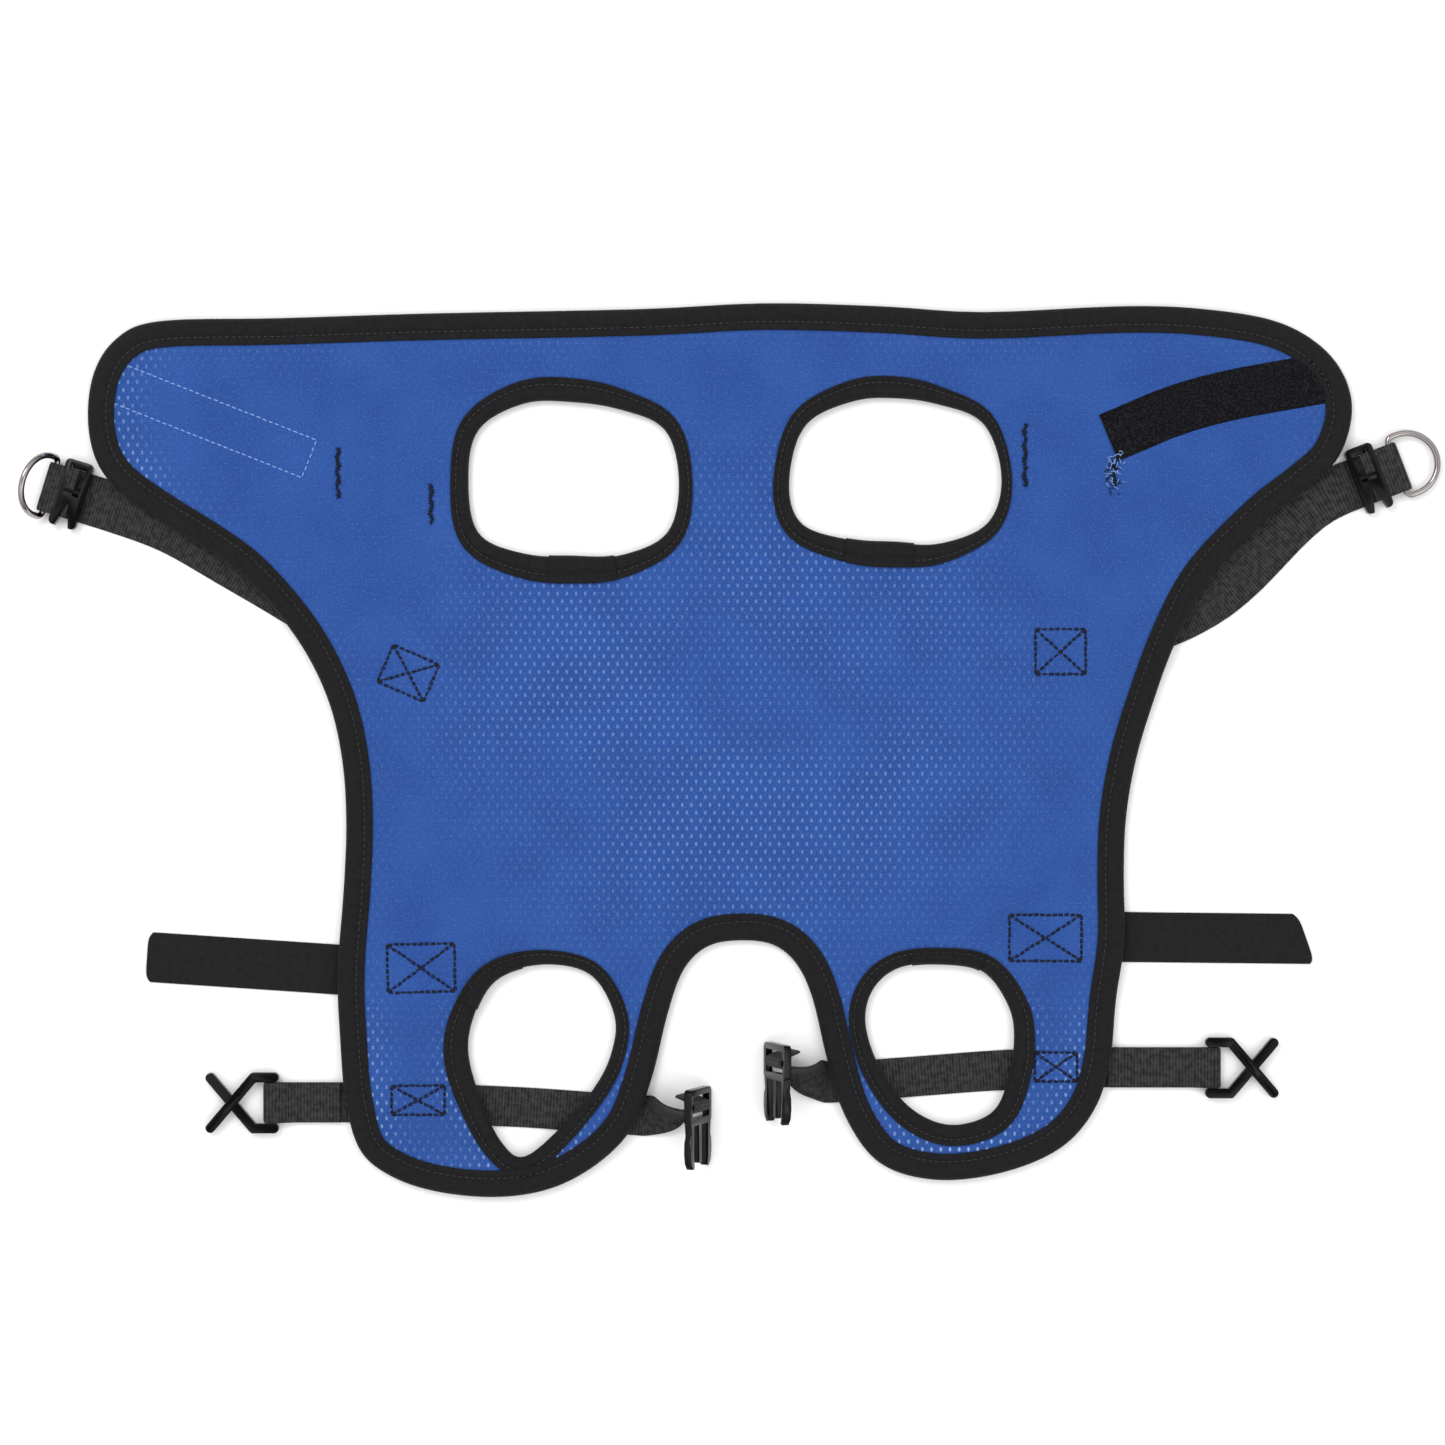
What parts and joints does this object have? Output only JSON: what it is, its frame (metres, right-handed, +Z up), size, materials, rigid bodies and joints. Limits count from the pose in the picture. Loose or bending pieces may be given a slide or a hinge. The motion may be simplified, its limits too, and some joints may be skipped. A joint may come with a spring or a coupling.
{
  "type": "full-body lifting harness",
  "caption": "Padded full-body support harness, laid flat lining side up: winged panel with leg holes, shoulder and leg straps, side tabs, sliders, D-rings, cross hooks and buckles.",
  "frame": {"origin": "middle of the laid-out harness, on the surface that its straps lie on", "axes": "+X from wing to wing, +Y from the rear lobes to the neck edge, +Z up out of the lining"},
  "size_m": [0.7068, 0.446, 0.0268],
  "materials": {
    "lining_knit": "matte knitted spacer mesh",
    "foam": "matte closed-cell foam",
    "shell_fabric": "matte woven",
    "binding_tape": "matte fine knit",
    "closure_tape": "matte fuzzy",
    "webbing": "ribbed weave, slight sheen",
    "tab_webbing": "smooth flat weave",
    "blue_thread": "satin thread",
    "black_thread": "satin thread",
    "moulded_plastic": "satin moulded",
    "ring_nickel": "bright nickel"
  },
  "bodies": {
    "centre_strip": {"lining_centre": "lining_knit", "foam_centre": "foam", "shell_centre": "shell_fabric", "edge_binding_centre": "binding_tape"},
    "left_half": {"lining_left": "lining_knit", "foam_left": "foam", "shell_left": "shell_fabric", "edge_binding_left": "binding_tape", "front_hole_binding_left": "binding_tape", "rear_hole_binding_left": "binding_tape", "shoulder_strap_left": "webbing", "outer_keeper_left": "webbing", "side_tab_base_left": "tab_webbing", "leg_strap_left": "webbing", "leg_strap_twist_left": "webbing", "leg_strap_loop_left": "webbing", "leg_strap_tail_left": "webbing", "box_stitching_left": "black_thread", "bar_tacks_left": "black_thread", "hook_tape": "closure_tape", "hook_tape_stitching": "blue_thread"},
    "left_side_tab": {"side_tab_left": "tab_webbing"},
    "left_leg_strap_end": {"leg_strap_end_left": "webbing"},
    "left_cross_hook": {"cross_hook_left": "moulded_plastic"},
    "left_slider": {"slider_left": "moulded_plastic"},
    "left_d_ring": {"d_ring_left": "ring_nickel"},
    "left_buckle": {"buckle_left": "moulded_plastic"},
    "right_half": {"lining_right": "lining_knit", "foam_right": "foam", "shell_right": "shell_fabric", "edge_binding_right": "binding_tape", "front_hole_binding_right": "binding_tape", "rear_hole_binding_right": "binding_tape", "shoulder_strap_right": "webbing", "outer_keeper_right": "webbing", "side_tab_base_right": "tab_webbing", "leg_strap_right": "webbing", "leg_strap_twist_right": "webbing", "leg_strap_loop_right": "webbing", "leg_strap_tail_right": "webbing", "box_stitching_right": "black_thread", "bar_tacks_right": "black_thread", "loop_tape": "closure_tape"},
    "right_side_tab": {"side_tab_right": "tab_webbing"},
    "right_leg_strap_end": {"leg_strap_end_right": "webbing"},
    "right_cross_hook": {"cross_hook_right": "moulded_plastic"},
    "right_slider": {"slider_right": "moulded_plastic"},
    "right_d_ring": {"d_ring_right": "ring_nickel"},
    "right_buckle": {"buckle_right": "moulded_plastic"}
  },
  "joints": [
    {"name": "left_half_fold", "type": "hinge", "parent": "centre_strip", "child": "left_half", "pos_m": [-0.01, 0, 0.008], "axis": [0, 1, 0], "range_deg": [0, 50]},
    {"name": "left_side_tab_fold", "type": "hinge", "parent": "left_half", "child": "left_side_tab", "pos_m": [-0.201, -0.1095, 0.0015], "axis": [0, 1, 0], "range_deg": [0, 60]},
    {"name": "left_leg_strap_fold", "type": "hinge", "parent": "left_half", "child": "left_leg_strap_end", "pos_m": [-0.203, -0.176, 0.0015], "axis": [0, 1, 0], "range_deg": [0, 60]},
    {"name": "left_hook_swing", "type": "hinge", "parent": "left_leg_strap_end", "child": "left_cross_hook", "pos_m": [-0.231, -0.176, 0.0034], "axis": [0, 1, 0], "range_deg": [0, 90]},
    {"name": "left_slider_slide", "type": "slide", "parent": "left_half", "child": "left_slider", "axis": [-0.9563, 0.2924, 0], "range_m": [0, 0.0005]},
    {"name": "left_ring_swing", "type": "hinge", "parent": "left_half", "child": "left_d_ring", "pos_m": [-0.341, 0.131, 0.0034], "axis": [0.2924, 0.9563, 0], "range_deg": [-55, 50]},
    {"name": "left_buckle_swing", "type": "hinge", "parent": "left_half", "child": "left_buckle", "pos_m": [-0.0175, -0.1765, 0.01359], "axis": [-0.3746, 0, 0.9272], "range_deg": [0, 15]},
    {"name": "right_half_fold", "type": "hinge", "parent": "centre_strip", "child": "right_half", "pos_m": [0.01, 0, 0.008], "axis": [0, -1, 0], "range_deg": [0, 50]},
    {"name": "right_side_tab_fold", "type": "hinge", "parent": "right_half", "child": "right_side_tab", "pos_m": [0.199, -0.0935, 0.0015], "axis": [0, -1, 0], "range_deg": [0, 60]},
    {"name": "right_leg_strap_fold", "type": "hinge", "parent": "right_half", "child": "right_leg_strap_end", "pos_m": [0.194, -0.1585, 0.0015], "axis": [0, -1, 0], "range_deg": [0, 60]},
    {"name": "right_hook_swing", "type": "hinge", "parent": "right_leg_strap_end", "child": "right_cross_hook", "pos_m": [0.24, -0.1585, 0.0034], "axis": [0, -1, 0], "range_deg": [0, 90]},
    {"name": "right_slider_slide", "type": "slide", "parent": "right_half", "child": "right_slider", "axis": [0.9336, 0.3584, 0], "range_m": [0, 0.004]},
    {"name": "right_ring_swing", "type": "hinge", "parent": "right_half", "child": "right_d_ring", "pos_m": [0.3315, 0.141, 0.0034], "axis": [0.3584, -0.9336, 0], "range_deg": [0, 110]},
    {"name": "right_buckle_swing", "type": "hinge", "parent": "right_half", "child": "right_buckle", "pos_m": [0.022, -0.1545, 0.01359], "axis": [-0.3746, 0, -0.9272], "range_deg": [0, 15]}
  ]
}
